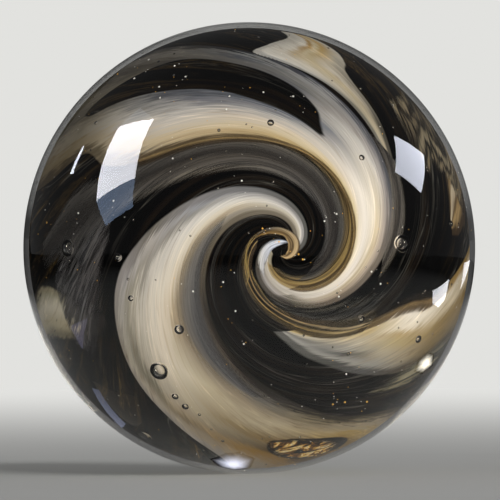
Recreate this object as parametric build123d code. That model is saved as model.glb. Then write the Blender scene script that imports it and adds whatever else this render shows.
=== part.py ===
from build123d import *
import math
import os

# A handmade vortex marble, in millimetres and degrees.
# The origin is the ball's centre. The vortex faces forwards: its axis is Y, and the
# eye is where -Y leaves the ball. A direction from the centre is given by its polar
# angle, counted from the eye, and its azimuth round the eye, counter-clockwise from
# +X as seen from in front.

# The glass layers
BALL_RADIUS = 19.0
CASING_THICKNESS = 6.8
IVORY_DEPTH = 0.9
AMBER_DEPTH = 0.5
SMOKE_DEPTH = 0.45
CORE_RADIUS = BALL_RADIUS - CASING_THICKNESS

# The twist: the eye has turned by EYE_TURN against the far side,
# and the turn dies away by 1/e over each TURN_FADE of polar angle.
EYE_TURN = 350.0
TURN_FADE = 32.0

# Longest run from one section of a stripe to the next: its turn about the eye
# and its polar angle
SECTION_TURN = 13.0
SECTION_STEP = 6.0

# How far a groove's cutter reaches past the core's surface, and how deep the gaps
# in an ivory arm are cut
GROOVE_MARGIN = 0.5
SLOT_DEPTH = IVORY_DEPTH + GROOVE_MARGIN

# Stripes, as stations along their length: polar angle, then the azimuths of the
# two edges as they lay before the twist.
FORKED_ARM = [
    (7, 474, 506), (14, 472, 510), (22, 475, 511), (30, 472, 531), (38, 467, 553),
    (46, 464, 559), (60, 470, 556), (75, 473, 544), (90, 476, 529), (110, 478, 530),
    (140, 480, 525), (164, 488, 516),
]
FORK_WEDGE = [
    (43, 515, 519), (48, 504, 520), (55, 492, 518), (65, 485, 513), (80, 487, 511),
    (95, 488, 511), (105, 497, 512), (112, 505, 509),
]
BROAD_ARM = [
    (8, 297, 331), (14, 300, 338), (22, 293, 336), (30, 281, 341), (40, 265, 340),
    (50, 253, 336), (62, 246, 331), (75, 257, 326), (85, 270, 327), (100, 279, 328),
    (120, 281, 326), (145, 284, 322), (164, 292, 314),
]
DARK_WINDOW = [
    (82, 303, 307), (86, 297, 312), (94, 294, 316), (104, 296, 315), (114, 302, 309),
]
SMOKE_PATCH = [
    (24, 326, 333), (32, 311, 335), (42, 303, 333), (50, 311, 329), (56, 319, 326),
]
SLIM_ARM = [
    (30, 412, 421), (38, 394, 414), (46, 381, 407), (56, 368, 396), (68, 358, 383),
    (80, 352, 377), (95, 352, 373), (120, 350, 369), (150, 352, 364),
]
IVORY_PATCH = [
    (60, 454, 460), (68, 452, 463), (78, 451, 470), (86, 448, 471), (93, 443, 461),
    (104, 438, 448), (114, 438, 444),
]
IVORY_BAND = [
    (73, 598, 601), (78, 590, 599), (84, 583, 594), (91, 576, 588), (98, 570, 583),
    (106, 565, 579), (116, 562, 575), (130, 563, 573), (152, 566, 572),
]
TAN_BAND = [
    (84, 391, 396), (90, 386, 401), (104, 383, 397), (125, 384, 394), (148, 386, 391),
]
AMBER_THREAD = [
    (11, 420, 430), (15, 434, 440), (20, 439, 444), (24, 436, 441), (30, 427, 432),
    (37, 416, 420), (42, 411, 414.5),
]
WINDOW_STRAND = [
    (93, 305, 307), (98, 304, 307), (104, 303, 305.5), (109, 303, 304.5),
]
SMOKE_BETWEEN = [
    (16, 545, 590), (24, 552, 606), (33, 563, 603), (44, 568, 592), (56, 566, 580),
    (70, 556, 571), (84, 547, 568), (96, 549, 561), (108, 551, 557),
]
SMOKE_BESIDE = [
    (40, 452, 461), (50, 448, 460), (57, 452, 466),
]

# Amber lines along an arm's right edge: gap, then from and to which polar angle
# and how wide in the middle of the line
EDGE_GAP = 2.4
FORKED_EDGE = (14, 66, 5.0)
SLIM_EDGE = (42, 84, 3.0)
EDGE_STEP = 4
EDGE_END = 0.3

# The eye: a tan ring round the axis, from and to which polar angle
CURL_INNER_ANGLE = 1.2
CURL_OUTER_ANGLE = 4.6

# Air bubbles in the casing: polar angle, azimuth, depth under the ball's surface
# and diameter
BUBBLES = [
    (73.7, 180.0, 4.2, 1.33), (56.6, 227.0, 4.2, 1.45), (38.0, 2.1, 4.2, 1.36),
    (84.5, 239.4, 2.85, 1.19), (52.7, 183.3, 4.2, 0.62), (39.2, 94.3, 4.2, 0.53),
    (37.8, 47.6, 4.2, 0.46), (50.9, 198.9, 4.2, 0.46), (57.1, 236.3, 2.85, 0.55),
    (58.4, 241.0, 2.85, 0.55), (41.1, 218.6, 4.2, 0.77), (29.8, 317.4, 2.85, 0.63),
    (53.6, 328.2, 2.85, 0.61), (58.8, 7.6, 2.85, 0.46),
]


def smooth_value(points, place):
    """Height of a smooth curve through (place, height) points, flat past the ends."""
    if place <= points[0][0]:
        return points[0][1]
    if place >= points[-1][0]:
        return points[-1][1]
    number = next(i for i in range(1, len(points)) if place <= points[i][0])
    start, end = points[number - 1], points[number]
    before = points[max(number - 2, 0)]
    after = points[min(number + 1, len(points) - 1)]
    span = end[0] - start[0]
    slope_in = (end[1] - before[1]) / (end[0] - before[0])
    slope_out = (after[1] - start[1]) / (after[0] - start[0])
    part = (place - start[0]) / span
    return (
        start[1] * (1 + 2 * part) * (1 - part) ** 2
        + end[1] * part**2 * (3 - 2 * part)
        + span * slope_in * part * (1 - part) ** 2
        - span * slope_out * part**2 * (1 - part)
    )


def outward(polar, azimuth):
    """Unit vector from the ball's centre at these two angles."""
    p = math.radians(polar)
    a = math.radians(azimuth)
    return Vector(math.sin(p) * math.cos(a), -math.cos(p), math.sin(p) * math.sin(a))


def twisted(polar, azimuth):
    """Where an azimuth ends up once the marble has been twisted."""
    return azimuth - EYE_TURN * math.exp(-polar / TURN_FADE)


def edges(stations, polar):
    """Twisted azimuths of a stripe's left and right edges at one polar angle."""
    left = smooth_value([(s[0], s[1]) for s in stations], polar)
    right = smooth_value([(s[0], s[2]) for s in stations], polar)
    return twisted(polar, left), twisted(polar, right)


def section_angles(stations):
    """Polar angles of a stripe's sections, closer together where it turns fast."""
    angles = [stations[0][0]]
    end = stations[-1][0]
    while angles[-1] < end:
        turn_rate = EYE_TURN / TURN_FADE * math.exp(-angles[-1] / TURN_FADE)
        angles.append(angles[-1] + min(SECTION_STEP, SECTION_TURN / turn_rate))
    squeeze = (end - angles[0]) / (angles[-1] - angles[0])
    return [angles[0] + (angle - angles[0]) * squeeze for angle in angles]


def stripe_section(stations, polar, inner_radius, outer_radius):
    """Slice of a stripe: the flat ring sector from one edge to the other, whose two
    walls point at the ball's centre."""
    left, right = (outward(polar, azimuth) for azimuth in edges(stations, polar))
    middle = (left + right).normalized()
    top = ThreePointArc(left * outer_radius, middle * outer_radius, right * outer_radius)
    bottom = ThreePointArc(right * inner_radius, middle * inner_radius, left * inner_radius)
    return Wire([top, Line(top @ 1, bottom @ 0), bottom, Line(bottom @ 1, top @ 0)])


def groove(stations, depth):
    """The space a stripe takes up in the core, run on past the core's surface."""
    inner = CORE_RADIUS - depth
    outer = CORE_RADIUS + GROOVE_MARGIN
    angles = section_angles(stations)
    sections = [stripe_section(stations, p, inner, outer) for p in angles]
    return Solid.make_loft(sections, ruled=True)


def edge_line(stations, start, end, width):
    """Stations of a line that follows a stripe's right edge and thins to its ends."""
    line = []
    for polar in range(start, end + 1, EDGE_STEP):
        left = smooth_value([(s[0], s[2]) for s in stations], polar) + EDGE_GAP
        swell = math.sin(math.pi * (polar - start) / (end - start))
        line.append((polar, left, left + width * (EDGE_END + (1 - EDGE_END) * swell)))
    return line


def eye_curl():
    """The tan ring that closes the vortex at its eye."""
    height = IVORY_DEPTH + GROOVE_MARGIN
    outer = CORE_RADIUS * math.sin(math.radians(CURL_OUTER_ANGLE))
    inner = CORE_RADIUS * math.sin(math.radians(CURL_INNER_ANGLE))
    bottom = Plane(origin=(0, IVORY_DEPTH - CORE_RADIUS, 0), z_dir=(0, -1, 0))
    return extrude(bottom * (Circle(outer) - Circle(inner)), height)


def bubble(polar, azimuth, depth, diameter):
    """A round air bubble."""
    return Pos(outward(polar, azimuth) * (BALL_RADIUS - depth)) * Sphere(diameter / 2)


# The space that each coloured glass takes up in the core
forked_arm = groove(FORKED_ARM, IVORY_DEPTH) - groove(FORK_WEDGE, SLOT_DEPTH)
broad_arm = groove(BROAD_ARM, IVORY_DEPTH) - groove(DARK_WINDOW, SLOT_DEPTH)
smoke_patch = groove(SMOKE_PATCH, SMOKE_DEPTH)
grooves = {
    "ivory_arm_forked": forked_arm,
    "ivory_arm_broad": broad_arm - smoke_patch,
    "ivory_arm_slim": groove(SLIM_ARM, IVORY_DEPTH),
    "ivory_patch": groove(IVORY_PATCH, IVORY_DEPTH),
    "ivory_band": groove(IVORY_BAND, IVORY_DEPTH),
    "tan_band": groove(TAN_BAND, IVORY_DEPTH),
    "amber_thread": groove(AMBER_THREAD, AMBER_DEPTH),
    "amber_edge_forked": groove(edge_line(FORKED_ARM, *FORKED_EDGE), AMBER_DEPTH),
    "amber_edge_slim": groove(edge_line(SLIM_ARM, *SLIM_EDGE), AMBER_DEPTH),
    "window_strand": groove(WINDOW_STRAND, AMBER_DEPTH),
    "smoke_veil_between": groove(SMOKE_BETWEEN, SMOKE_DEPTH),
    "smoke_veil_beside": groove(SMOKE_BESIDE, SMOKE_DEPTH),
    "smoke_patch": smoke_patch,
    "eye_curl": eye_curl(),
}

# Each glass was rolled in flush with the core, so the core's ball trims them all,
# and the clear casing closes over a smooth ball.
core_ball = Sphere(CORE_RADIUS)
pieces = {name: core_ball & space for name, space in grooves.items()}
core = core_ball
for space in grooves.values():
    core -= space
pieces["dark_core"] = core
pieces["clear_casing"] = Sphere(BALL_RADIUS) - core_ball - [bubble(*b) for b in BUBBLES]

os.makedirs("parts", exist_ok=True)
for name, shape in pieces.items():
    export_step(shape, f"parts/{name}.step")
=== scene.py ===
# %% [markdown]
# # A handmade glass marble with a twisted vortex
# The marble is one fused ball of glass. A dark ball was made first, ivory, tan and smoky
# glass was rolled into its surface in stripes, and the hot ball was twisted so that the
# stripes wound up round one eye. Then a thick coat of clear glass went over it and was
# ground and polished round. We load the solid model as a fixed frame, and dress it.

# %% Load the frame
import math

import bmesh
import bpy
import numpy as np
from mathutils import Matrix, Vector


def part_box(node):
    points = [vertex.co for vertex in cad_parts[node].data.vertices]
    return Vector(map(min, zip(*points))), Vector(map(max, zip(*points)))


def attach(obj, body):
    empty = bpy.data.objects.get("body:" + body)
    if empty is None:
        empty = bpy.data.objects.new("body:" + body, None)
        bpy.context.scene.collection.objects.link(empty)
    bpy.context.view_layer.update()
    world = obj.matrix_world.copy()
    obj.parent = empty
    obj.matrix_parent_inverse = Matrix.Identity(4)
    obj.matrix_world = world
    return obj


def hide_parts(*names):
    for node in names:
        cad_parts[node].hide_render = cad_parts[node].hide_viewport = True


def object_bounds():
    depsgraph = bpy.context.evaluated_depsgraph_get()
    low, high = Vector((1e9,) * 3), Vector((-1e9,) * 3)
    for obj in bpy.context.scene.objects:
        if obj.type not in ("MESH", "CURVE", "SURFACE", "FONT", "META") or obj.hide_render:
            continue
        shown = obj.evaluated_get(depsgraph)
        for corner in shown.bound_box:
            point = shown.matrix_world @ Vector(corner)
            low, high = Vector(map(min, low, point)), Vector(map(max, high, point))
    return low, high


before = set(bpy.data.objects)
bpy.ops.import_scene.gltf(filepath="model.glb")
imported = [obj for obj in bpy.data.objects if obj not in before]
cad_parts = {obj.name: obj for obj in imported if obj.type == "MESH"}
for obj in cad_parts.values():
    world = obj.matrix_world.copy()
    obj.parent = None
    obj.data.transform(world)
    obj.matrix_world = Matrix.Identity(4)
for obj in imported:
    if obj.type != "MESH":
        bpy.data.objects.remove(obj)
cad_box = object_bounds()
MM = 0.001
BALL_RADIUS = (cad_box[1][2] - cad_box[0][2]) / 2
CORE_RADIUS = float(np.abs(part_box("dark_core")).max())
print("ball radius", BALL_RADIUS, "core radius", CORE_RADIUS)

# %% [markdown]
# ## Where things lie on the core
# A point on the core is given by its polar angle from the eye and its azimuth round it.
# Before the twist every stripe ran straight from the eye to the far side, so a stripe's
# edge is nearly a constant azimuth. The twist then turned the eye against the far side,
# by an angle that dies away with the polar angle. Working in the azimuth from before the
# twist keeps every stripe simple: two slowly changing edges.

# %% The twist and the curves through listed stations
EYE_TURN = 350.0
TURN_FADE = 32.0


def outward(polar, azimuth):
    """Unit vectors (sin p cos a, -cos p, sin p sin a): the eye faces -Y, up is +Z."""
    p = np.radians(polar)
    a = np.radians(azimuth)
    return np.stack([np.sin(p) * np.cos(a), -np.cos(p), np.sin(p) * np.sin(a)], -1)


def twisted(polar, before):
    """Azimuth after the twist: before minus EYE_TURN times e to the -polar/TURN_FADE."""
    return before - EYE_TURN * np.exp(-polar / TURN_FADE)


def smooth_curve(places, heights, at):
    """Cubic curve through the points, whose slope at each is that between its neighbours."""
    places = np.asarray(places, float)
    heights = np.asarray(heights, float)
    slopes = np.gradient(heights, places)
    slopes[1:-1] = (heights[2:] - heights[:-2]) / (places[2:] - places[:-2])
    at = np.clip(at, places[0], places[-1])
    i = np.clip(np.searchsorted(places, at) - 1, 0, len(places) - 2)
    span = places[i + 1] - places[i]
    t = (at - places[i]) / span
    return (
        heights[i] * (1 + 2 * t) * (1 - t) ** 2
        + heights[i + 1] * t**2 * (3 - 2 * t)
        + span * (slopes[i] * t * (1 - t) ** 2 - slopes[i + 1] * t**2 * (1 - t))
    )


# %% [markdown]
# ## The stripes' outlines
# Each stripe is a short list of stations: a polar angle, and the azimuths of its left
# and right edges before the twist. They are the same stripes as in the solid model.

# %% Stations of the stripes
FORKED_ARM = [
    (4, 476, 500), (7, 474, 506), (14, 470, 512), (22, 474, 514), (30, 471, 534),
    (38, 466, 556), (46, 463, 560), (60, 469, 556), (75, 473, 544), (90, 476, 530),
    (110, 478, 530), (140, 480, 525), (164, 488, 516),
]
FORK_WEDGE = [
    (42, 514, 520), (48, 503, 519), (55, 491, 518), (65, 485, 514), (80, 485, 512),
    (95, 487, 512), (105, 497, 513), (114, 507, 510),
]
BROAD_ARM = [
    (5, 300, 326), (8, 297, 333), (14, 300, 342), (22, 292, 340), (30, 279, 341),
    (40, 264, 340), (50, 252, 336), (62, 245, 331), (75, 256, 327), (85, 270, 327),
    (100, 279, 328), (120, 281, 326), (145, 284, 322), (164, 292, 314),
]
DARK_WINDOW = [
    (81, 302, 307), (86, 297, 312), (94, 294, 316), (104, 296, 315), (114, 302, 309),
]
SMOKE_PATCH = [
    (22, 327, 336), (32, 312, 338), (42, 304, 335), (50, 313, 331), (57, 321, 327),
]
SLIM_ARM = [
    (29, 413, 419), (38, 393, 414), (46, 380, 408), (56, 367, 397), (68, 357, 383),
    (80, 352, 377), (95, 352, 373), (120, 350, 369), (150, 352, 364),
]
IVORY_PATCH = [
    (58, 455, 459), (68, 451, 463), (78, 450, 470), (86, 447, 472), (93, 442, 462),
    (104, 438, 449), (116, 439, 444),
]
IVORY_BAND = [
    (73, 598, 601), (78, 590, 599), (84, 583, 594), (91, 576, 588), (98, 570, 583),
    (106, 565, 579), (116, 562, 575), (130, 563, 573), (152, 566, 572),
]
TAN_BAND = [
    (82, 392, 396), (90, 386, 401), (104, 383, 398), (125, 384, 395), (148, 386, 391),
]
AMBER_THREAD = [
    (9, 410, 432), (15, 430, 445), (20, 436, 447), (24, 434, 444), (30, 425, 435),
    (37, 415, 422), (44, 409, 413),
]
WINDOW_STRAND = [
    (84, 300, 306), (90, 298, 310), (98, 297, 311), (106, 299, 309), (112, 303, 305),
]
SMOKE_BETWEEN = [
    (12, 540, 575), (18, 545, 596), (24, 550, 608), (33, 560, 605), (44, 564, 593),
    (56, 562, 581), (70, 554, 572), (84, 546, 568), (96, 549, 561), (108, 551, 557),
]
SMOKE_BESIDE = [(38, 453, 461), (44, 449, 462), (50, 447, 462), (58, 452, 466)]

# %% [markdown]
# ## One function for every stripe
# A stripe is a grid: rows march from its first polar angle to its last, columns go
# across from edge to edge and a little past both, so that the edge itself can be
# feathered by the material. Each point also stores how far across it is, how far inside
# the edges it is in millimetres, and its place in the flow of the glass. The flow place
# is the point's direction from before the twist, so a noise read there is pulled out
# into streaks that follow the stripe.

# %% Grid surfaces with stored flow
# How far a grid runs past its stripe's edges
MARGIN = 0.3 * MM
# Longest turn and longest step from row to row, in degrees
ROW_TURN = 2.2
ROW_STEP = 0.9
FLOW_STRETCH = 0.16
# A stripe that runs past FAR_SIDE closes over its last POINT_LENGTH degrees
FAR_SIDE = 120
POINT_LENGTH = 28
END_SHARE = 0.5


def mesh_from_grids(name, *grids, closed=False):
    """One smooth mesh of quads over (n, m, 3) arrays of points. A closed grid's last
    column is joined up with its first."""
    quads, count = [], 0
    for n, m in (grid.shape[:2] for grid in grids):
        corner = np.arange(n * m).reshape(n, m) + count
        if closed:
            corner = np.concatenate([corner, corner[:, :1]], 1)
        sides = corner[:-1, :-1], corner[1:, :-1], corner[1:, 1:], corner[:-1, 1:]
        quads.append(np.stack(sides, -1).reshape(-1, 4))
        count += n * m
    mesh = bpy.data.meshes.new(name)
    points = np.concatenate([grid.reshape(-1, 3) for grid in grids])
    mesh.from_pydata(points, [], np.concatenate(quads))
    mesh.polygons.foreach_set("use_smooth", np.ones(len(mesh.polygons), bool))
    return mesh


def close_poles(mesh):
    """Merges the points that lie on top of each other where a ball's rows shrink to
    nothing, so that its skin is closed there."""
    work = bmesh.new()
    work.from_mesh(mesh)
    bmesh.ops.remove_doubles(work, verts=work.verts, dist=1e-7)
    work.to_mesh(mesh)
    work.free()


def put(name, data):
    """A new object in the scene."""
    made = bpy.data.objects.new(name, data)
    bpy.context.scene.collection.objects.link(made)
    return made


def placed(name, mesh):
    """A piece of the marble, riding on its one body."""
    piece = put(name, mesh)
    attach(piece, "root")
    print(name, len(mesh.polygons), "faces")
    return piece


def store(mesh, name, values):
    """Puts one number or one vector per point into a named attribute."""
    vector = values.shape[-1] == 3 and values.size == 3 * len(mesh.vertices)
    kind, field = ("FLOAT_VECTOR", "vector") if vector else ("FLOAT", "value")
    attribute = mesh.attributes.new(name, kind, "POINT")
    attribute.data.foreach_set(field, values.astype(np.float32).ravel())


def flow_place(polar, before):
    """(cos b, sin b, FLOW_STRETCH times polar in radians): streaks run along polar."""
    b = np.radians(before)
    return np.stack([np.cos(b), np.sin(b), FLOW_STRETCH * np.radians(polar)], -1)


def row_angles(start, end):
    """Polar angles of the rows, close together where the twist turns fast."""
    angles = [start]
    while angles[-1] < end:
        rate = EYE_TURN / TURN_FADE * math.exp(-angles[-1] / TURN_FADE)
        angles.append(angles[-1] + min(ROW_STEP, ROW_TURN / rate))
    return np.array(angles[:-1] + [end])


def edges_at(stations, polar):
    """Left and right edge before the twist, at each polar angle."""
    table = np.array(stations)
    left = smooth_curve(table[:, 0], table[:, 1], polar)
    right = smooth_curve(table[:, 0], table[:, 2], polar)
    return left, right


def radian_width(polar, radius):
    """Metres straight across a stripe for a radian of azimuth: the radius times
    sin(polar), over the square root of 1 + slant^2, as the twist lays stripes aslant."""
    p = np.radians(polar)
    slant = np.sin(p) * EYE_TURN / TURN_FADE * np.exp(-polar / TURN_FADE)
    return radius * np.sin(p) / np.sqrt(1 + slant**2)


def inside_by(stations, polar, before, radius):
    """Distance inside the stripe's nearest edge: the azimuth difference times
    radian_width, or END_SHARE of the way to its ends; negative outside. A stripe that
    runs to the far side closes to a point there."""
    left, right = edges_at(stations, polar)
    scale = radian_width(polar, radius)
    sideways = np.radians(np.minimum(before - left, right - before)) * scale
    ends = np.radians(np.minimum(polar - stations[0][0], stations[-1][0] - polar))
    inside = np.minimum(sideways, ends * radius * END_SHARE)
    if stations[-1][0] > FAR_SIDE:
        close = np.clip(1 - (stations[-1][0] - polar) / POINT_LENGTH, 0, 1)
        inside = inside - close**2 * np.radians(right - left) / 2 * scale
    return inside


def stripe(name, stations, lift, columns, gaps=()):
    """The grid of one stripe, lift above the core's radius, with its gaps marked. Its
    columns are stored from right to left, so its faces point at the ball's centre."""
    radius = CORE_RADIUS + lift
    polar = row_angles(stations[0][0], stations[-1][0])
    left, right = edges_at(stations, polar)
    margin = np.degrees(MARGIN / radian_width(polar, radius))
    share = np.linspace(0, 1, columns)[None, :]
    before = (left - margin)[:, None] + (right - left + 2 * margin)[:, None] * share
    polar = np.repeat(polar[:, None], columns, 1)
    points = outward(polar, twisted(polar, before)) * radius
    mesh = mesh_from_grids(name, points[:, ::-1])
    inside = inside_by(stations, polar, before, radius)
    for gap in gaps:
        inside = np.minimum(inside, -inside_by(gap, polar, before, radius))
    across = (before - left[:, None]) / (right - left)[:, None]
    fields = {"inside": inside / MM, "across": across, "polar": polar}
    fields["flow"] = flow_place(polar, before)
    for field, values in fields.items():
        store(mesh, field, values[:, ::-1])
    return placed(name, mesh)


# %% [markdown]
# ## Building materials from a list of nodes
# Each glass is a small graph. One helper adds a node with its settings, links its inputs
# and hands back its output, so a material reads from top to bottom like a recipe.

# %% Colours and the one helper for nodes
def linear(hex_colour):
    """Linear RGBA of an sRGB hex colour: c/12.92 when small, else ((c+.055)/1.055)^2.4."""
    c = np.array([int(hex_colour[i:i + 2], 16) for i in (0, 2, 4)]) / 255
    return (*np.where(c <= 0.04045, c / 12.92, ((c + 0.055) / 1.055) ** 2.4), 1.0)


def add(tree, kind, links=(), output=0, stops="", **settings):
    """Adds one node with its settings, and its percent:colour stops if it is a ramp.
    links feeds its inputs, in order or by name, with values or with other nodes'
    outputs. Returns one of its own outputs."""
    node = tree.nodes.new("ShaderNode" + kind)
    for name, value in settings.items():
        setattr(node, name, value)
    for i, stop in enumerate(stops.split()):
        percent, colour = stop.split(":")
        node.color_ramp.interpolation = "EASE"
        points = node.color_ramp.elements
        point = points[i] if i < 2 else points.new(int(percent) / 100)
        point.position, point.color = int(percent) / 100, linear(colour)
    for place, value in links.items() if isinstance(links, dict) else enumerate(links):
        if isinstance(value, bpy.types.NodeSocket):
            tree.links.new(value, node.inputs[place])
        else:
            node.inputs[place].default_value = value
    return node.outputs[output] if node.outputs else node


SMOOTH = {"interpolation_type": "SMOOTHSTEP"}


def material(name):
    """An empty node material and its tree."""
    made = bpy.data.materials.new(name)
    made.use_nodes = True
    made.node_tree.nodes.clear()
    return made, made.node_tree


def matt(tree, colour, **more):
    """Ends a material in a surface of this colour that has no gloss of its own."""
    looks = {"Base Color": colour, "Roughness": 1.0, "Specular IOR Level": 0.0, **more}
    shader = add(tree, "BsdfPrincipled", looks)
    add(tree, "OutputMaterial", {"Surface": shader})


# %% [markdown]
# ## The coloured glasses
# The layers are fused, so there is no gloss between them: their shaders have no
# specular, and all the shine comes from the polished casing. The dark glass is coloured
# almost to black by manganese and iron. Where it was pulled thin, brown clouds and
# hair-thin grey lines show in it.

# %% Dark glass
# A noise of scale s on the flow has streaks at most about the core's 12.2 mm radius / s
# wide: clouds 4 mm, bundles 3.5 mm, mottling and broad streaks 1.3 mm, fine ones 0.3 mm.
CLOUDS = {"Scale": 3.0, "Detail": 4.0, "Roughness": 0.65, "Distortion": 0.6}
BUNDLES = {"Scale": 3.5, "Detail": 2.0, "Roughness": 0.5, "Distortion": 0.4}
MOTTLING = {"Scale": 10.0, "Detail": 5.0, "Roughness": 0.7, "Distortion": 0.8}
BROAD_STREAKS = {"Scale": 9.0, "Detail": 3.0, "Roughness": 0.55}
FINE_STREAKS = {"Scale": 45.0, "Detail": 5.0, "Roughness": 0.6}
LINE_COURSE = {"Detail": 2.0, "Roughness": 0.55}
# Hairlines: scale, half width as a noise value, tone, and the bundle value they start at
HAIRLINES = [(6.0, 0.012, "59554d", 0.54), (15.0, 0.028, "35322d", 0.55)]
BUNDLE_FADE = 0.12
# Polar angles between which the mottling of the sides, painted light, comes in
SIDE_START = 68.0
SIDE_FULL = 96.0


def hairlines(tree, flow, scale, width, bundles, start, fade, share=1.0):
    """Thin lines along the flow: 1 where a noise passes its middle value, fading to 0
    once it is width away from that. They come in over fade from where bundles passes
    start, and rise to share."""
    value = add(tree, "TexNoise", {"Vector": flow, "Scale": scale, **LINE_COURSE})
    off = add(tree, "Math", [value, 0.5], operation="SUBTRACT")
    off = add(tree, "Math", [off], operation="ABSOLUTE")
    lines = add(tree, "MapRange", {0: off, 1: width, 2: 0.0})
    shown = add(tree, "MapRange", {0: bundles, 1: start, 2: start + fade, 4: share})
    return add(tree, "Math", [lines, shown], operation="MULTIPLY")


def dark_colour(tree, flow):
    """Near-black glass: brown clouds, bundles of fine grey and tan lines along the flow,
    and olive and amber mottling added towards its sides. The mottling is the glass's own
    tone; its brightening towards the sides is painted light for the light that gets
    through there."""
    clouds = add(tree, "TexNoise", {"Vector": flow, **CLOUDS})
    colour = add(tree, "ValToRGB", [clouds],
                 stops="40:020202 50:030303 56:140e08 60:070505 70:020202")
    bundles = add(tree, "TexNoise", {"Vector": flow, **BUNDLES})
    for scale, width, tone, start in HAIRLINES:
        mask = hairlines(tree, flow, scale, width, bundles, start, BUNDLE_FADE)
        colour = add(tree, "Mix", {0: mask, 6: colour, 7: linear(tone)}, 2, data_type="RGBA")
    # Olive mottling added towards the sides: the glass's tone, brightened there as painted light
    mottle = add(tree, "TexNoise", {"Vector": flow, **MOTTLING})
    olive = add(tree, "ValToRGB", [mottle],
                stops="50:000000 55:1d160b 59:3d2f18 62:0b0804 68:5e4a26 75:a5834a")
    polar = add(tree, "Attribute", output="Fac", attribute_name="polar")
    side = add(tree, "MapRange", {0: polar, 1: SIDE_START, 2: SIDE_FULL})
    return add(
        tree, "Mix", {0: side, 6: colour, 7: olive}, 2, data_type="RGBA", blend_type="ADD"
    )


# %% [markdown]
# Opaque ivory glass is made by throwing a fine white precipitate into the melt. When it
# is stretched it goes thin in streaks, so amber, grey and blue show through. Its colour
# is a ramp across the stripe whose place wanders with the flow, times a finer streak.

# %% Streaked glass
# How far the fine streaks push a colour across the stripe, then lines along the flow:
# scale, half width, tint, and the value of the broad streaks they start at
JITTER = 0.24
TAN_LINES = (9.0, 0.022, (0.5, 0.38, 0.25, 1), 0.47)
PALE_LINES = (19.0, 0.04, (1.4, 1.38, 1.35, 1), 0.5)
LINE_SHARE = 0.85
LINE_FADE = 0.1
# A noise swings little about its middle, so what it pushes is multiplied
BROAD_GAIN = 2
FINE_GAIN = 4


def staged_ramp(tree, place, stages):
    """Colour across a stripe. Each stage is a polar angle and its colour stops, and
    one stage turns into the next in between."""
    polar = add(tree, "Attribute", output="Fac", attribute_name="polar")
    colour = add(tree, "ValToRGB", [place], stops=stages[0][1])
    for (start, _), (end, stops) in zip(stages, stages[1:]):
        share = add(tree, "MapRange", {0: polar, 1: start, 2: end})
        following = add(tree, "ValToRGB", [place], stops=stops)
        colour = add(tree, "Mix", {0: share, 6: colour, 7: following}, 2, data_type="RGBA")
    return colour


def streaked_glass(name, stages, wander=0.05, streak=0.16, soft=0.14, fray=0.5, cover=None):
    """Colour stages across a stripe, wandering and streaked along the flow. soft is how
    many millimetres the edge takes to fade, and fray how much the streaks tear it.
    Without a cover the glass is solid and fades to the dark glass; with one it is a
    veil that lets through whatever lies under it."""
    made, tree = material(name)
    flow = add(tree, "Attribute", output="Vector", attribute_name="flow")
    across = add(tree, "Attribute", output="Fac", attribute_name="across")
    inside = add(tree, "Attribute", output="Fac", attribute_name="inside")
    broad = add(tree, "TexNoise", {"Vector": flow, **BROAD_STREAKS})
    fine = add(tree, "TexNoise", {"Vector": flow, **FINE_STREAKS})
    swing = add(tree, "Math", [broad, 0.5], operation="SUBTRACT")
    grain = add(tree, "Math", [fine, 0.5], operation="SUBTRACT")
    place = add(tree, "Math", [swing, wander * BROAD_GAIN, across], operation="MULTIPLY_ADD")
    place = add(tree, "Math", [grain, JITTER, place], operation="MULTIPLY_ADD")
    colour = staged_ramp(tree, place, stages)
    shade = add(tree, "Math", [grain, streak * FINE_GAIN, 1.0], operation="MULTIPLY_ADD")
    shade = add(tree, "Math", [swing, streak * BROAD_GAIN, shade], operation="MULTIPLY_ADD")
    shade = add(tree, "Math", [shade, 0.0], operation="MAXIMUM")
    grey = add(tree, "CombineColor", [shade, shade, shade])
    colour = add(
        tree, "Mix", {0: 1.0, 6: colour, 7: grey}, 2, data_type="RGBA", blend_type="MULTIPLY"
    )
    for scale, width, tint, start in (TAN_LINES, PALE_LINES):
        mask = hairlines(tree, flow, scale, width, broad, start, LINE_FADE, LINE_SHARE)
        colour = add(
            tree, "Mix", {0: mask, 6: colour, 7: tint}, 2,
            data_type="RGBA", blend_type="MULTIPLY",
        )
    depth = add(tree, "Math", [inside, MARGIN / MM], operation="ADD")
    torn = add(tree, "Math", [grain, fray * FINE_GAIN, 1.0], operation="MULTIPLY_ADD")
    torn = add(tree, "Math", [swing, fray * BROAD_GAIN, torn], operation="MULTIPLY_ADD")
    mask = add(tree, "Math", [depth, torn], operation="MULTIPLY")
    mask = add(tree, "MapRange", {0: mask, 1: 0.0, 2: soft}, **SMOOTH)
    if cover is None:
        dark = dark_colour(tree, flow)
        matt(tree, add(tree, "Mix", {0: mask, 6: dark, 7: colour}, 2, data_type="RGBA"))
    else:
        matt(tree, colour, Alpha=add(tree, "Math", [mask, cover], operation="MULTIPLY"))
    return made


def finish_piece(piece, made, *nodes, slot="ivory_glass"):
    """Gives a piece its material and hides the solids it stands for."""
    piece.data.materials.append(made)
    if nodes:
        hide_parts(*nodes)


# %% [markdown]
# ## The ivory stripes
# The ivory glass was laid on in three rods of different widths, with a few leftovers
# between them. Each stripe gets its colours from the photograph in stages: at a polar
# angle, what one meets when crossing the stripe from its left edge to its right one.

# %% The forked arm
# Height from one thin layer to the next
LAYER = 0.006 * MM


def laid(node_name, stations, columns, made, lift=-2 * LAYER, gaps=(), slot="ivory_glass"):
    """A stripe that stands for its solid. The lowest ones lie two layers down."""
    piece = stripe(node_name + "_glass", stations, lift, columns, gaps)
    finish_piece(piece, made, node_name, slot=slot)


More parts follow.
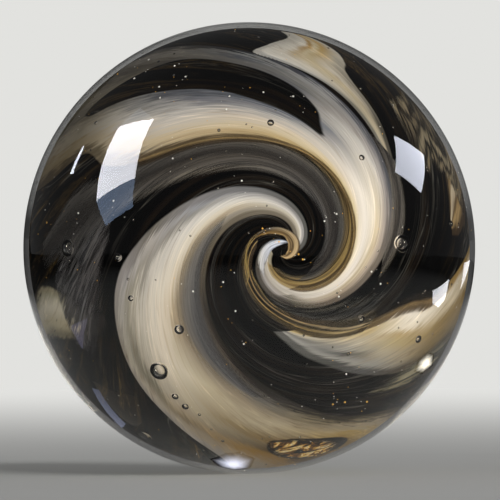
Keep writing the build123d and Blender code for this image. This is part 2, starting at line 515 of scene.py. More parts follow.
laid("ivory_arm_forked", FORKED_ARM, 60, streaked_glass("ivory_forked", [
    (14, "0:4a443d 25:97908a 45:8b8276 62:a79f93 86:c9c0b4 100:8f8672"),
    (26, "0:5b5044 12:8a7a68 30:a8997f 50:d3c8bb 70:d8cbb8 88:c8b795 100:9a7f4f"),
    (36, "0:6b6156 10:a8998a 22:cdbb9c 30:d9ccb8 50:ded3c4 68:cbbfaf 82:cab896 93:ae9668 "
         "100:94805c"),
    (48, "0:4d4d50 10:9b938d 20:c5bdb2 30:b5aea4 40:77777a 53:62646b 62:a39f9a 72:cdbfae "
         "86:d0bd9c 94:bba37c 100:7b6f58"),
    (64, "0:4a4a50 5:8f8c88 12:77746f 20:55565a 50:4f5257 60:77767a 68:b3ada6 80:d2c7b9 "
         "92:cdb997 100:7d7260"),
    (84, "0:2f3034 4:8a8a88 9:55565a 17:6d6963 24:3a3a3c 56:4b4c50 66:8e8b86 78:c6bdb0 "
         "92:b9a98e 100:70644f"),
    (104, "0:4b4743 10:8d867b 25:625b50 42:8b8270 60:6f6757 78:9c917c 90:8b7a5a 100:4b3f2c"),
], streak=0.1, fray=0.3), gaps=[FORK_WEDGE])

# %% [markdown]
# The broad arm is the widest rod. A dark window stays open in it near its far end, and
# its right side was pulled so thin that the core darkens it.

# %% The broad arm
laid("ivory_arm_broad", BROAD_ARM, 60, streaked_glass("ivory_broad", [
    (14, "0:55534f 20:948f8b 44:bcb5ab 60:b3aa98 80:93897a 100:6b6254"),
    (24, "0:6e6c6b 15:a5a19c 32:cfc8bd 46:c9bda8 62:a6957c 80:847c70 100:5f5648"),
    (34, "0:7b7775 8:8f8e8f 13:88837c 24:cbc3b8 42:d3c7b4 50:bfae94 58:94846e 68:7a7470 "
         "82:3f3c3b 93:5b4c39 100:2c2720"),
    (46, "0:6b655c 6:a59d94 13:958e84 20:c4bbae 34:d4c8b5 45:c8b8a1 53:a08e73 60:857661 "
         "74:595450 86:3e3a38 95:54493b 100:1f1b17"),
    (58, "0:8f8883 5:a29c95 13:8b8373 24:b5ab9b 40:cdbfab 55:c4b79f 68:b2a387 80:8d7f69 "
         "92:5f5a54 100:2c2823"),
    (72, "0:837a6c 6:99907f 17:6f6858 30:a09480 45:a5977d 57:8f7c5b 70:a99a7e 80:b2a285 "
         "92:7f7259 100:2f2a22"),
    (92, "0:9d9388 12:a79479 30:94702f 40:5a4420 66:7a5c22 80:a5894f 90:9a8b70 100:3b3224"),
], streak=0.1, fray=0.3), gaps=[DARK_WINDOW])

# %% [markdown]
# The slim arm starts further out. The patch at the top and the two bands at the sides
# are leftovers of the same rods, a warmer tan where they are thin.

# %% The slim arm, the patch and the bands
laid("ivory_arm_slim", SLIM_ARM, 40, streaked_glass("ivory_slim", [
    (34, "0:55534e 20:8c8880 50:6f6b64 80:a79d8a 100:b09a6c"),
    (46, "0:4b4944 10:8d8980 25:4d4b48 40:8f897d 60:a89c86 80:a89368 100:b59f77"),
    (60, "0:4f4d4a 10:8a857b 30:a0947e 50:a8966f 62:ab946a 74:d9ccb6 93:e2d6c4 100:b89d70"),
    (84, "0:4c402e 20:7d6a47 50:8e7548 70:c3b192 88:cfc0a6 100:8a7044"),
], wander=0.07, streak=0.13))

laid("ivory_patch", IVORY_PATCH, 30, streaked_glass("ivory_upper", [
    (66, "0:4b463d 30:8f846f 70:a3977f 100:6f6a60"),
    (82, "0:928a7b 20:d0c4b0 40:c9b794 75:ded4c4 93:e6dfd2 100:b5b0a8"),
    (98, "0:c0b7a5 30:c4a46a 45:d9c7a2 55:b8935a 70:e4dbcb 100:cfc7b9"),
], wander=0.12, streak=0.12, fray=0.25))

laid("ivory_band", IVORY_BAND, 24, streaked_glass("ivory_side", [
    (78, "0:141210 40:26221e 80:221e1a 100:12100e"),
    (85, "0:2b2822 40:7d7565 80:5a5347 100:1d1a16"),
    (91, "0:8f8672 35:cdc2aa 70:b6a98c 100:5d5544"),
    (104, "0:a09678 35:ded3ba 70:c4b694 100:7d735a"),
], streak=0.1, soft=0.3, fray=0.9))

laid("tan_band", TAN_BAND, 24, streaked_glass("tan_side", [
    (90, "0:3a2c1c 30:a0855a 45:5d4a32 65:bfae92 80:7c6646 100:30261b"),
], wander=0.12, streak=0.25), slot="tan_glass")

# %% [markdown]
# ## Amber lines and smoke
# Where ivory glass meets the dark glass the two react and leave an amber line. A line is
# a narrow stripe that follows an arm's edge, and it veils what lies under it. In the dark
# window gold-coloured shards lie loose: their colour comes in broken patches, not lines,
# and their brightest gold-white spots are painted glints.

# %% Amber lines along the arms
# Width at a line's ends, as a share of its width in the middle
LINE_END = 0.3


def edge_stations(stations, start, end, gap, width, step=4):
    """Stations of a line along a stripe's right edge, swelling like a half sine."""
    polar = np.arange(start, end + 1, step)
    right = edges_at(stations, polar)[1] + gap
    swell = width * (LINE_END + (1 - LINE_END) * np.sin(np.pi * (polar - start) / (end - start)))
    return list(zip(polar, right, right + swell))


amber = streaked_glass("amber_line", [
    (30, "0:5a4830 40:9a7f52 70:6f5a3a 100:3d3122"),
], wander=0.5, streak=0.5, fray=1.0, cover=0.6)
brown = streaked_glass("brown_line", [
    (60, "0:4a3a26 40:6b5537 100:1d160e"),
], wander=0.5, streak=0.5, fray=1.2, cover=0.7)
double = streaked_glass("double_thread", [
    (20, "0:4d3f2a 10:b0945f 20:2b2117 55:14100c 72:3a3027 84:a1875a 100:3b3024"),
    (36, "0:3d3425 25:8d7a55 50:3a3226 75:8a7a5e 100:3b3428"),
], wander=0.12, streak=0.4, fray=1.0, cover=0.8)

# Shards: patches per millimetre, their noise, millimetres to fade in, and cover
SHARD_SIZE = 0.55
SHARD_BREAKS = {"Detail": 5.0, "Roughness": 0.7, "Distortion": 1.2}
SHARD_EDGE = 0.7
SHARD_COVER = 0.97


def shard_glass(name):
    """Broken amber and gold patches: a noise on the piece's own coordinates, SHARD_SIZE
    per millimetre and bent by itself, with bright stops only where it is high. The
    brightest, near-white gold stops are painted glints."""
    made, tree = material(name)
    place = add(tree, "TexCoord", output="Object")
    inside = add(tree, "Attribute", output="Fac", attribute_name="inside")
    breaks = {"Vector": place, "Scale": SHARD_SIZE / MM, **SHARD_BREAKS}
    broken = add(tree, "TexNoise", breaks)
    # The near-white gold stops at 58 and 61 are painted glints; the rest is amber glass
    colour = add(tree, "ValToRGB", [broken],
                 stops="40:0d0a07 47:2b1c0b 50:8a5c18 52:2b1d0c 55:b57a22 58:ffd068 "
                       "61:fff0c0 64:5a3c14 72:1a120a")
    depth = add(tree, "Math", [inside, MARGIN / MM], operation="ADD")
    mask = add(tree, "MapRange", {0: depth, 1: 0.0, 2: SHARD_EDGE}, **SMOOTH)
    matt(tree, colour, Alpha=add(tree, "Math", [mask, SHARD_COVER], operation="MULTIPLY"))
    return made


gold_and_glints = shard_glass("gold_shards_and_glints")
lines = {
    "amber_thread": (AMBER_THREAD, double),
    "amber_edge_forked": (edge_stations(FORKED_ARM, 14, 66, 0.4, 5.0), amber),
    "amber_edge_slim": (edge_stations(SLIM_ARM, 42, 84, 0.2, 3.0), brown),
    "window_strand": (WINDOW_STRAND, gold_and_glints),
}
for node_name, (stations, made) in lines.items():
    laid(node_name, stations, 12, made, 0.0, slot="amber_glass")

# %% [markdown]
# The smoke hangs between the arms in wide thin sheets, and in narrower wisps that have
# no solid of their own: they are only a breath of colour on the core.

# %% Smoke veils
smoke = streaked_glass("smoke", [
    (20, "0:4a4844 30:2b2826 60:3b3733 100:4b4845"),
    (40, "0:6f675b 20:524d47 45:35312d 65:4c463f 85:57514a 100:726a5e"),
    (70, "0:55514c 50:33302d 100:4b4845"),
], wander=0.25, streak=0.35, soft=0.6, fray=0.8, cover=0.85)
patch_smoke = streaked_glass("smoke_over_ivory", [
    (30, "0:8a7d69 40:6f6a64 80:4b4947 100:3d3b3a"),
    (46, "0:8f7f66 30:6a645d 60:4c4a49 100:45423f"),
], wander=0.1, streak=0.3, soft=0.6, fray=0.7, cover=0.8)
WISP_UPPER = [(16, 455, 492), (22, 440, 474), (30, 434, 456), (37, 426, 441), (43, 420, 428)]
INNER_EDGE = [
    (7, 505, 528), (12, 510, 542), (18, 513, 550), (24, 517, 546), (30, 534, 548),
    (36, 552, 558),
]
veils = {
    "smoke_veil_between": (SMOKE_BETWEEN, smoke),
    "smoke_veil_beside": (SMOKE_BESIDE, smoke),
    "smoke_patch": (SMOKE_PATCH, patch_smoke),
}
for node_name, (stations, made) in veils.items():
    laid(node_name, stations, 30, made, -LAYER, slot="smoke_glass")
wisp_glass = streaked_glass("wisps", [
    (20, "0:2b2927 30:55514a 60:24221f 100:5f594c"),
    (40, "0:6f634a 30:3b3833 70:2b2a28 100:45423c"),
], wander=0.3, streak=0.5, soft=0.8, fray=1.4, cover=0.75)
inner_glass = streaked_glass("olive_brown_edge", [
    (14, "0:a08a5c 25:6b5533 45:8a7448 70:3a2c18 100:5f5138"),
], wander=0.4, streak=0.5, soft=0.4, fray=1.0, cover=0.85)
CLOUD_LEFT = [(64, 566, 584), (72, 560, 593), (80, 558, 596), (90, 560, 594), (98, 566, 586)]
SIDE_STREAKS = [
    (74, 418, 430), (84, 408, 430), (92, 398, 424), (100, 384, 418), (112, 384, 412),
]
LOW_STREAKS = [(72, 342, 351), (82, 339, 353), (94, 340, 354), (108, 344, 352)]
cloud_glass = streaked_glass("cloudy_grey", [
    (80, "0:2b2a2a 20:5f5c5a 35:2b2a2b 50:6d6a68 65:363434 80:5a5654 100:2b2827"),
], wander=1.2, streak=0.5, soft=0.8, fray=1.4, cover=0.8)
side_glass = streaked_glass("side_streaks", [
    (90, "0:2b2620 15:7d7059 30:1d1a16 45:8d8068 60:2b261f 75:6b5f4b 85:1d1814 100:7d7059"),
], wander=0.5, streak=0.6, soft=0.8, fray=1.6, cover=0.8)
olive_glass = streaked_glass("olive_grey", [
    (90, "0:3b372c 30:857c62 50:4b463a 70:8f866c 100:5f594a"),
], wander=0.9, streak=0.4, soft=1.3, fray=1.0, cover=0.75)
wisps = {
    "wisp_upper": (WISP_UPPER, wisp_glass), "inner_edge": (INNER_EDGE, inner_glass),
    "cloud_left": (CLOUD_LEFT, cloud_glass), "side_streaks": (SIDE_STREAKS, side_glass),
    "low_streaks": (LOW_STREAKS, olive_glass),
}
for name, (stations, made) in wisps.items():
    finish_piece(stripe(name, stations, -1.5 * LAYER, 30), made, slot="smoke_glass")

# %% [markdown]
# ## The dark core
# The core is near black, but it isn't paint: brown and grey glass drifts through it in
# long streaks. Its grid is twisted with the flow, so that the stored flow stays exact.

# %% The core
def core_ball(name, radius, rows=230, columns=360):
    """A ball whose meridians are wound up by the twist. Like a stripe's, its columns
    run from right to left, so its faces point at its centre."""
    polar = np.repeat(np.linspace(0, 180, rows)[:, None], columns, 1)
    before = np.repeat((np.arange(columns) * 360 / columns)[None, :], rows, 0)
    points = outward(polar, twisted(polar, before)) * radius
    mesh = mesh_from_grids(name, points[:, ::-1], closed=True)
    store(mesh, "flow", flow_place(polar, before)[:, ::-1])
    store(mesh, "polar", polar[:, ::-1])
    close_poles(mesh)
    return placed(name, mesh)


core = core_ball("dark_core_glass", CORE_RADIUS - 3 * LAYER)
dark_glass, tree = material("dark_core")
flow = add(tree, "Attribute", output="Vector", attribute_name="flow")
matt(tree, dark_colour(tree, flow))
finish_piece(core, dark_glass, "dark_core", slot="dark_glass")

# %% [markdown]
# ## The eye
# At the eye the rods were pinched off and turned once more with the tweezers. A tan
# strand curls over the middle, the forked arm ends in a white hook under it, and two
# gold threads trail away. They turn too tightly for the grid of a stripe, so each is a
# ribbon along a given path.

# %% Ribbons at the eye
EYE_SCALE = 3.0


def ribbon(name, path, lift, steps=90, columns=14):
    """A strand near the eye. Its path is given on the core as seen from straight in
    front: degrees to the right, degrees up and a width in millimetres. The grid runs
    along a smooth curve through these, and half the width to each side of it."""
    path = np.array(path, float)
    run = np.append(0, np.cumsum(np.hypot(*np.diff(path[:, :2], axis=0).T)))
    at = np.linspace(0, run[-1], steps)
    right, up, width = (smooth_curve(run, path[:, i], at) for i in range(3))
    course = np.stack([np.gradient(right), np.gradient(up)])
    course /= np.hypot(*course)
    share = np.linspace(-0.5, 0.5, columns)[None, :]
    spread = np.degrees(width[:, None] * share * MM / CORE_RADIUS)
    x = right[:, None] - course[1][:, None] * spread
    y = up[:, None] + course[0][:, None] * spread
    polar, azimuth = np.hypot(x, y), np.degrees(np.arctan2(y, x))
    points = outward(polar, azimuth) * (CORE_RADIUS + lift)
    mesh = mesh_from_grids(name, points)
    store(mesh, "inside", (0.5 - np.abs(share)) * width[:, None] - MARGIN / MM)
    store(mesh, "across", share + 0.5 + 0 * polar)
    store(mesh, "polar", polar)
    across = share * width[:, None] / EYE_SCALE
    along = np.repeat(np.radians(at)[:, None], columns, 1) * FLOW_STRETCH
    store(mesh, "flow", np.stack([across, along, 0 * along], -1))
    return placed(name, mesh)


curl = ribbon("eye_curl_glass", [
    (-9.6, 3.4, 0.1), (-7.0, 5.2, 0.45), (-2.4, 6.0, 0.62), (1.4, 4.9, 0.7),
    (3.6, 2.1, 1.0), (3.3, -1.0, 0.9), (1.2, -2.8, 0.5), (-0.9, -2.5, 0.1),
], LAYER)
finish_piece(curl, streaked_glass("eye_tan", [
    (4, "0:3d2e1c 20:8f7651 35:55442f 55:a88f69 72:bfa47a 85:6b5538 100:33261a"),
    (8, "0:2b2118 30:7d6238 50:33281b 70:6f6558 100:3a342d"),
], wander=0.35, streak=0.45, soft=0.12, fray=0.9, cover=0.97), "eye_curl", slot="tan_glass")
hook = ribbon("arm_hook_glass", [
    (-6.2, -10.0, 0.1), (-7.2, -6.5, 0.5), (-7.1, -4.0, 0.75), (-6.2, -1.2, 0.85),
    (-4.6, 0.7, 0.75), (-1.9, 1.9, 0.6), (0.8, 2.1, 0.3), (2.0, 1.7, 0.1),
], 2 * LAYER)
finish_piece(hook, streaked_glass("hook_white", [
    (3, "0:7d8088 30:b4b7c0 55:e0e2ea 80:a6a9b4 100:55565c"),
    (8, "0:7d7a78 30:a8a6a6 60:cfcbc6 80:a39d94 100:6b675f"),
], wander=0.3, streak=0.4, soft=0.16, fray=1.0, cover=0.95))
GOLD_THREADS = [
    [(-12.4, -12.9, 0.1), (-11.8, -9.1, 0.3), (-12.5, -4.1, 0.36), (-12.4, -1.3, 0.3),
     (-11.2, 2.2, 0.22), (-9.1, 4.6, 0.12)],
    [(-10.8, -7.3, 0.12), (-9.6, -10.4, 0.2), (-8.2, -12.9, 0.18), (-5.9, -16.4, 0.15),
     (-3.0, -19.3, 0.18), (3.3, -23.2, 0.1)],
]
for i, path in enumerate(GOLD_THREADS):
    name = f"gold_thread_{i}"
    thread_glass = streaked_glass(
        name, [(5, "0:4a3a24 50:97804f 100:5a4830")],
        wander=0.3, streak=0.7, soft=0.08, fray=1.5, cover=0.75,
    )
    finish_piece(ribbon(name, path, 2 * LAYER), thread_glass, slot="amber_glass")

# %% [markdown]
# ## The clear casing
# The casing is the ball itself: one polished surface, with round air bubbles trapped
# under it. A bubble is a hole in the glass, so its faces point into the air inside it,
# which is how light knows that it leaves the glass there. Nothing is painted on it.

# %% The casing and its bubbles
# Bubbles: polar angle, azimuth, depth under the surface and diameter, in millimetres
BUBBLES = [
    (73.7, 180.0, 4.2, 1.33), (56.6, 227.0, 4.2, 1.45), (38.0, 2.1, 4.2, 1.36),
    (84.5, 239.4, 2.85, 1.19), (52.7, 183.3, 4.2, 0.62), (39.2, 94.3, 4.2, 0.53),
    (37.8, 47.6, 4.2, 0.46), (50.9, 198.9, 4.2, 0.46), (57.1, 236.3, 2.85, 0.55),
    (58.4, 241.0, 2.85, 0.55), (41.1, 218.6, 4.2, 0.77), (29.8, 317.4, 2.85, 0.63),
    (53.6, 328.2, 2.85, 0.61), (58.8, 7.6, 2.85, 0.46),
]

# Tiny bubbles strewn at random: how many, the random seed, between which cosines of
# the polar angle and which depths, and how large
SEED_COUNT = 150
SEED_BUBBLES = 4
SEED_COSINES = (-0.9, 1.0)
SEED_DEPTHS = (2.0, 5.8)
SEED_SIZES = [0.14, 0.17, 0.21, 0.26]
SEED_SHARES = [0.4, 0.3, 0.2, 0.1]
# Rows from pole to pole and columns round a ball
CASING_GRID = (200, 360)
BUBBLE_GRID = (22, 32)
SEED_GRID = (9, 12)


def ball_points(rows, columns):
    """Unit ball: rows from pole to pole along Z, columns round it."""
    p = np.linspace(0, 180, rows)[:, None] * np.ones(columns)
    a = np.arange(columns) * 360 / columns * np.ones((rows, 1))
    p, a = np.radians(p), np.radians(a)
    return np.stack([np.sin(p) * np.cos(a), np.sin(p) * np.sin(a), np.cos(p)], -1)


def void(polar, azimuth, depth, diameter, grid):
    """A round hole in the glass, whose faces point into it."""
    centre = outward(polar, azimuth) * (BALL_RADIUS - depth * MM)
    return (ball_points(*grid) * diameter / 2 * MM + centre)[:, ::-1]


rng = np.random.default_rng(SEED_BUBBLES)
seeds = zip(
    np.degrees(np.arccos(rng.uniform(*SEED_COSINES, SEED_COUNT))),
    rng.uniform(0, 360, SEED_COUNT),
    rng.uniform(*SEED_DEPTHS, SEED_COUNT),
    rng.choice(SEED_SIZES, SEED_COUNT, p=SEED_SHARES),
)
surfaces = [ball_points(*CASING_GRID) * BALL_RADIUS]
surfaces += [void(*bubble, BUBBLE_GRID) for bubble in BUBBLES]
surfaces += [void(*seed, SEED_GRID) for seed in seeds]
casing_mesh = mesh_from_grids("clear_casing_glass", *surfaces, closed=True)
close_poles(casing_mesh)
casing = placed("clear_casing_glass", casing_mesh)

# Polished clear glass, which lets the lamps' light straight in to the core
GLASS_INDEX = 1.52
SHADOW_TINT = (0.96, 0.97, 0.96, 1)
clear_glass, tree = material("clear_glass")
shader = add(tree, "BsdfPrincipled", {
    "Base Color": (1, 1, 1, 1), "Roughness": 0.0, "IOR": GLASS_INDEX,
    "Transmission Weight": 1.0,
})
through = add(tree, "BsdfTransparent", {"Color": SHADOW_TINT})
shadow = add(tree, "LightPath", output="Is Shadow Ray")
mixed = add(tree, "MixShader", [shadow, shader, through])
add(tree, "OutputMaterial", {"Surface": mixed})
finish_piece(casing, clear_glass, "clear_casing", slot="clear_glass")

# %% [markdown]
# ## Pale flecks: painted glints
# Tiny bright grains sit in the clear glass just over the core. They are painted glints:
# pale and golden matt grains that stand in for points of light. Each is an eight-sided
# grain 0.04 to 0.16 mm across, and all of them are one mesh.

# %% The flecks, painted glints
# Painted glints seen in the photograph: polar angle and azimuth. From GOLD_FROM on, golden ones
SEEN_FLECKS = [
    (79.6, 112.7), (82.4, 121.0), (90.4, 112.6), (99.9, 123.0), (109.3, 115.0),
    (76.3, 123.6), (60.4, 104.1), (54.9, 107.6), (50.3, 138.3), (81.2, 169.0),
    (64.5, 162.9), (26.8, 119.9), (59.6, 91.5), (58.2, 80.5), (22.4, 31.1),
    (17.2, 32.0), (34.0, 206.6), (26.7, 234.3), (23.2, 210.1), (35.8, 250.4),
    (26.2, 321.0), (39.1, 341.4), (33.8, 346.1), (54.6, 301.7), (66.5, 294.2),
    (68.5, 298.5), (76.3, 305.8), (99.4, 287.0), (103.9, 172.6), (118.6, 122.6),
    (9.6, 136.3), (2.6, 124.1), (5.6, 339.1), (7.7, 330.9),
]
GOLD_FROM = 24
FLECK_COUNT = 190
FLECK_SEED = 11
FLECK_COSINES = (-0.5, 1.0)
# Height over the core, sizes from centre to corner, in millimetres, and the spread of
# a cluster in degrees
FLECK_HEIGHT = 0.12
SEEN_SIZE = 0.08
FLECK_SIZES = (0.02, 0.045)
CLUSTER_SPREAD = 4
GOLDEN_SHARE = 0.4
grains = np.random.default_rng(FLECK_SEED)
polar = np.degrees(np.arccos(grains.uniform(*FLECK_COSINES, FLECK_COUNT)))
azimuth = grains.uniform(0, 360, FLECK_COUNT)
cluster = grains.integers(0, len(SEEN_FLECKS), FLECK_COUNT // 2)
near_polar, near_azimuth = np.array(SEEN_FLECKS)[cluster].T
polar[:len(cluster)] = near_polar + grains.normal(0, CLUSTER_SPREAD, len(cluster))
azimuth[:len(cluster)] = near_azimuth + grains.normal(0, CLUSTER_SPREAD, len(cluster))
size = grains.uniform(*FLECK_SIZES, FLECK_COUNT)
polar = np.append([f[0] for f in SEEN_FLECKS], polar)
azimuth = np.append([f[1] for f in SEEN_FLECKS], azimuth)
size = np.append(np.full(len(SEEN_FLECKS), SEEN_SIZE), size)
golden = np.append(
    np.arange(len(SEEN_FLECKS)) >= GOLD_FROM, grains.random(FLECK_COUNT) < GOLDEN_SHARE
)
CORNERS = np.array([sign * axis for axis in np.eye(3) for sign in (1, -1)])
SIDES = np.array([
    [0, 2, 4], [2, 1, 4], [1, 3, 4], [3, 0, 4], [2, 0, 5], [1, 2, 5], [3, 1, 5], [0, 3, 5],
])
centres = outward(polar, azimuth) * (CORE_RADIUS + FLECK_HEIGHT * MM)
points = centres[:, None] + CORNERS[None] * size[:, None, None] * MM
faces = SIDES[None] + 6 * np.arange(len(size))[:, None, None]
fleck_mesh = bpy.data.meshes.new("painted_glint_flecks")
fleck_mesh.from_pydata(points.reshape(-1, 3), [], faces.reshape(-1, 3))
store(fleck_mesh, "golden", np.repeat(golden.astype(float), 6))
glint_flecks = placed("painted_glint_flecks", fleck_mesh)
glint_glass, tree = material("painted_glint_grains")
# The grains' pale and golden colours make them painted glints
gilt = add(tree, "Attribute", output="Fac", attribute_name="golden")
tone = add(
    tree, "Mix", {0: gilt, 6: linear("f4efe4"), 7: linear("eeb552")}, 2, data_type="RGBA"
)
matt(tree, tone, Roughness=0.6)
finish_piece(glint_flecks, glint_glass)

# %% [markdown]
# ## Camera
# The marble was photographed from a little to the left of its eye with a long lens. The
# camera stands level with its middle, and the lens is chosen so that the ball fills the
# frame as it does in the photograph.

# %% Camera
FRAME_PIXELS = 500
BALL_PIXELS = 226.0
BALL_CENTRE = (249.25, 248.18)
CAMERA_DISTANCE = 0.5
CAMERA_YAW = 11.45
SENSOR = 36.0

camera_data = bpy.data.cameras.new("camera")
camera = put("camera", camera_data)
bpy.context.scene.camera = camera
yaw = math.radians(CAMERA_YAW)
camera.location = (-CAMERA_DISTANCE * math.sin(yaw), -CAMERA_DISTANCE * math.cos(yaw), 0)
camera.rotation_euler = (math.pi / 2, 0, -yaw)
seen_radius = math.tan(math.asin(BALL_RADIUS / CAMERA_DISTANCE))
camera_data.sensor_width = SENSOR
camera_data.lens = SENSOR * BALL_PIXELS / seen_radius / FRAME_PIXELS
camera_data.shift_x = (FRAME_PIXELS / 2 - BALL_CENTRE[0]) / FRAME_PIXELS
camera_data.shift_y = (BALL_CENTRE[1] - FRAME_PIXELS / 2) / FRAME_PIXELS
camera_data.clip_start = 0.01
print("lens", round(camera_data.lens, 1), "mm")

# %% [markdown]
# ## Light
# The polish mirrors its surroundings, and the photograph shows windows in it. A ray is
# sent from the camera through each corner of such a reflection, bounced off the ball,
# and followed outwards: the window's corner lies on it. So the panels stand exactly
# where the real windows did.

# %% Windows found by following the reflections
right_hand = np.array([math.cos(yaw), -math.sin(yaw), 0])
forwards = np.array([math.sin(yaw), math.cos(yaw), 0])
upwards = np.array([0.0, 0.0, 1.0])
eye_point = -CAMERA_DISTANCE * forwards


def mirrored(pixels, reach):
    """Where rays through these pixels end up: they meet the ball at the near root of
    |eye + t d| = R, turn to d - 2 (d.n) n there, and go on for reach."""
    pixels = np.asarray(pixels, float)
    side = (pixels[:, 0] - BALL_CENTRE[0]) / BALL_PIXELS * seen_radius
    rise = (BALL_CENTRE[1] - pixels[:, 1]) / BALL_PIXELS * seen_radius
    d = forwards + side[:, None] * right_hand + rise[:, None] * upwards
    d /= np.linalg.norm(d, axis=1)[:, None]
    along = d @ eye_point
    t = -along - np.sqrt(along**2 - eye_point @ eye_point + BALL_RADIUS**2)
    hit = eye_point + t[:, None] * d
    n = hit / BALL_RADIUS
    out = d - 2 * (d * n).sum(1)[:, None] * n
    return hit + out * reach


def glow(name, hex_colour, strength):
    """A material that shines in the polish and the bubbles, but sends no light on from
    the core: it goes out for every ray that has met a matt surface."""
    made, tree = material(name)
    bounces = add(tree, "LightPath", output="Diffuse Depth")
    first = add(tree, "Math", [bounces, 0.5], operation="LESS_THAN")
    level = add(tree, "Attribute", output="Fac", attribute_name="level")
    level = add(tree, "MapRange", [level], **SMOOTH)
    power = add(tree, "Math", [first, level], operation="MULTIPLY")
    power = add(tree, "Math", [power, strength], operation="MULTIPLY")
    shader = add(tree, "Emission", {"Color": linear(hex_colour), "Strength": power})
    add(tree, "OutputMaterial", {"Surface": shader})
    return made


def card(name, corners, faces, level, hex_colour, strength):
    """A glowing card of the studio that neither the camera sees nor the core is lit by.
    level says how brightly each corner shines, from 0 to 1."""
    mesh = bpy.data.meshes.new(name)
    mesh.from_pydata(corners, [], faces)
    store(mesh, "level", level)
    mesh.materials.append(glow(name, hex_colour, strength))
    made = put(name, mesh)
    made.visible_camera = False
    made.visible_diffuse = False
    made.visible_shadow = False
    print(name, np.round(np.mean(corners, 0), 3))
    return made


def panel(name, pixels, reach, hex_colour, strength, soft=False):
    """A panel that is mirrored in the ball at these pixels. A soft one fades out from
    its middle point to its edge."""
    corners = mirrored(pixels, reach)
    count = len(corners)
    faces = [tuple(range(count))]
    if soft:
        corners = np.append(corners, [corners.mean(0)], 0)
        faces = [(i, (i + 1) % count, count) for i in range(count)]
    level = np.ones(len(corners))
    level[:count] = 0.0 if soft else 1.0
    card(name, corners, faces, level, hex_colour, strength).visible_transmission = False


# Corners of each reflection in the photograph's pixels, how far off the panel stands in
# metres, its colour and its strength, and whether it is a soft one
FAR = 0.4
SOFT = True
PANELS = {
    "window_left": ([(119, 127), (154, 119), (135, 178), (96.5, 201)], FAR, "f4f6ff", 14),
    "window_right": ([(394, 136), (424, 155), (421, 193), (395, 172)], FAR, "e8ecfa", 10),
    "pane_left": ([(96.5, 201), (135, 178), (133, 207), (106, 226)], FAR, "8fa6c8", 4.6),
    "pane_top": ([(119, 127), (140, 108), (154, 119)], FAR, "c0cad8", 1.6),
    "slit_left": ([(83, 146), (84, 148), (73, 174), (70, 174)], FAR, "eef2ff", 11),
    "card_right": ([(432.5, 291), (449, 279), (445, 299), (431, 315)], 0.055, "eef0f6", 8),
    "card_far_right": ([(464, 263), (470, 260), (460, 290)], 0.05, "eef0f6", 3),
    "card_left": ([(70, 326), (88, 318), (83, 350)], 0.02, "a9a6c0", 1.6),
    "card_low_left": ([(92, 380), (140, 397), (143, 426), (129, 424)], 0.007, "b0aca4", 0.7),
    "card_low_edge": ([(92, 388), (99, 390), (126, 424), (122, 428)], 0.006, "aeb4cc", 1.3),
    "spot_low": ([
        (210, 459), (225, 453), (240, 452), (255, 458), (250, 468), (235, 470), (220, 467),
    ], 0.0009, "e8ecff", 5.0, SOFT),
    "spot_low_right": ([
        (414, 372), (418, 360), (428, 352), (434, 354), (433, 365), (422, 374),
    ], 0.015, "fff8e8", 9.0, SOFT),
}
for name, looks in PANELS.items():
    panel(name, *looks)

# %% [markdown]
# Bubbles are hard to see in the dark glass. Cards on the camera's side shine in them a
# little. They are seen only through the glass, and the polish doesn't mirror them.

# %% Cards for the bubbles
CARD_CORNERS = ((-1, -1), (1, -1), (1, 1), (-1, 1))
# Place in metres, width and strength
BUBBLE_CARDS = {
    "bubble_card_left": ((-0.7, -0.45, 0.5), 0.45, 26),
    "bubble_card_right": ((0.55, -0.5, 0.45), 0.4, 26),
    "bubble_card_low": ((0.1, -0.65, -0.6), 0.3, 14),
}
for name, (place, size, strength) in BUBBLE_CARDS.items():
    place = np.array(place)
    back = place / np.linalg.norm(place)
    side = np.cross([0, 0, 1], back)
    side /= np.linalg.norm(side)
    rise = np.cross(back, side)
    corners = [place + size / 2 * (i * side + j * rise) for i, j in CARD_CORNERS]
    card(name, corners, [(0, 1, 2, 3)], np.ones(4), "fff2dc", strength).visible_glossy = False

# %% [markdown]
# The lamps are wide and low. The polish doesn't mirror them: they only light the core
# through the casing, from all round the camera's side.

# %% Soft lamps
LAMP_HEIGHT = 0.14
# Place in metres, width and power in watts
LAMPS = {
    "front_fill": ((-0.1, -0.88, 0.08), 0.5, 5.0),
    "left_fill": ((-0.86, -0.1, 0.2), 0.4, 2.2),
    "right_fill": ((0.85, -0.1, 0.15), 0.4, 4.6),
    "top_right_light": ((0.35, -0.5, 0.65), 0.35, 2.9),
    "low_fill": ((0.0, -0.55, -0.65), 0.35, 3.8),
}
for name, (place, width, power) in LAMPS.items():
    data = bpy.data.lights.new(name, "AREA")
    data.shape = "RECTANGLE"
    data.size = width
    data.size_y = LAMP_HEIGHT
    data.energy = power
    lamp = put(name, data)
    lamp.location = place
    lamp.rotation_euler = (-lamp.location).to_track_quat("-Z", "Y").to_euler()
    lamp.visible_glossy = False
    lamp.visible_transmission = False
    lamp.visible_camera = False
print(len(LAMPS), "lamps")

# %% [markdown]
# ## Floor, backdrop and room
# The ball stands on a pale sheet that sweeps up behind it. Far behind the ball the
# sheet is an even pale tone wherever the camera, the polish or the clear rim looks at
# it. Near the ball it is lit by the lamps alone, so the ball keeps its shadow there.
# Further out, in front and to the sides, its colour is a dark grey: painted shade for
# light falling off. The rest of the room is dim, as a studio's is, so the dark glass
# stays dark.

# %% The sweep
SWEEP_HALF = 0.5
SWEEP_FRONT = -0.3
BEND_START = 1.2
BEND_RADIUS = 0.5
SWEEP_TOP = 0.8
# Where each pale part of the sheet has faded out (1) and where it is full (2), in metres
BEHIND_FADE = {1: 0.0, 2: 0.3}
STRIP_FADE = {1: 0.085, 2: 0.025}
STRIP_WIDENING = 0.06
LOW_FADE = {1: 0.19, 2: 0.11}
# Beyond the near part and the strip behind the ball, the sheet's colour is painted shade
NEAR_FADE = {1: 0.17, 2: 0.04}
BACK_FADE = {1: -0.03, 2: 0.05}

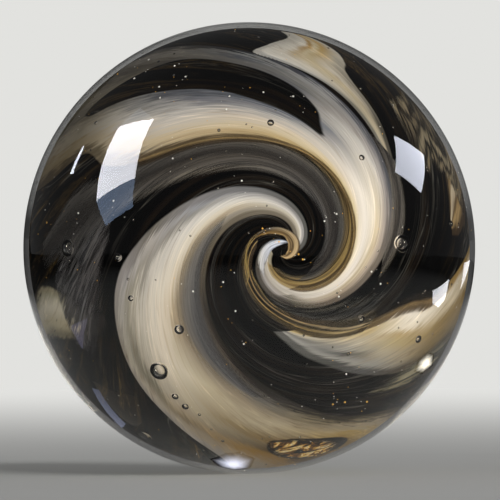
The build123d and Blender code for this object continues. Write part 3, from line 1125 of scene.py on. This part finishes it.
floor_z = float(cad_box[0][2])
bend = np.linspace(0, math.pi / 2, 25)
profile = np.concatenate([
    [(SWEEP_FRONT, 0.0)],
    np.stack([BEND_START + BEND_RADIUS * np.sin(bend), BEND_RADIUS * (1 - np.cos(bend))], 1),
    [(BEND_START + BEND_RADIUS, SWEEP_TOP)],
])
rows = [
    np.stack([np.full(len(profile), x), profile[:, 0], profile[:, 1] + floor_z], 1)
    for x in (SWEEP_HALF, -SWEEP_HALF)
]
sweep = put("sweep", mesh_from_grids("sweep", np.array(rows)))

paper, tree = material("paper")
place = add(tree, "TexCoord", output="Object")
x, y, z = (add(tree, "SeparateXYZ", [place], i) for i in range(3))
behind = add(tree, "MapRange", {0: y, **BEHIND_FADE}, **SMOOTH)
aside = add(tree, "Math", [y, -math.tan(yaw), x], operation="MULTIPLY_ADD")
aside = add(tree, "Math", [aside], operation="ABSOLUTE")
shrink = add(tree, "Math", [y, -STRIP_WIDENING, aside], operation="MULTIPLY_ADD")
middle = add(tree, "MapRange", {0: shrink, **STRIP_FADE}, **SMOOTH)
low = add(tree, "MapRange", {0: z, **LOW_FADE}, **SMOOTH)
far = add(tree, "Math", [behind, middle], operation="MULTIPLY")
far = add(tree, "Math", [far, low], operation="MULTIPLY")
ground = add(tree, "CombineXYZ", [x, y])
distance = add(tree, "VectorMath", [ground], "Value", operation="LENGTH")
near = add(tree, "MapRange", {0: distance, **NEAR_FADE}, **SMOOTH)
back = add(tree, "MapRange", {0: y, **BACK_FADE}, **SMOOTH)
strip = add(tree, "Math", [back, middle], operation="MULTIPLY")
pale = add(tree, "Math", [near, strip], operation="MAXIMUM")
# The sheet's colour: pale near the ball and in the strip behind it, and elsewhere a dark grey
# that is painted shade for light falling off
tone = add(
    tree, "Mix", {0: pale, 6: linear("3c3c3b"), 7: linear("b4b4b2")}, 2, data_type="RGBA"
)
seen = add(tree, "LightPath", output="Is Camera Ray")
for ray in ("Is Glossy Ray", "Is Transmission Ray"):
    kind = add(tree, "LightPath", output=ray)
    seen = add(tree, "Math", [seen, kind], operation="MAXIMUM")
share = add(tree, "Math", [seen, far], operation="MULTIPLY")
lit = add(tree, "BsdfDiffuse", {"Color": tone})
even = add(tree, "Emission", {"Color": linear("e2e2df"), "Strength": 1.0})
paper_mix = add(tree, "MixShader", [share, lit, even])
add(tree, "OutputMaterial", {"Surface": paper_mix})
sweep.data.materials.append(paper)
sweep.visible_shadow = False

# %% [markdown]
# The room around the sweep is a plain dim grey, so the dark glass has nothing bright to
# mirror but the windows.

# %% The dim room
scene = bpy.context.scene
scene.view_settings.view_transform = "Standard"
world = bpy.data.worlds.new("room")
scene.world = world
world.use_nodes = True
tree = world.node_tree
tree.nodes.clear()
room = add(tree, "Background", {"Color": linear("ffffff"), "Strength": 0.08})
add(tree, "OutputWorld", {"Surface": room})
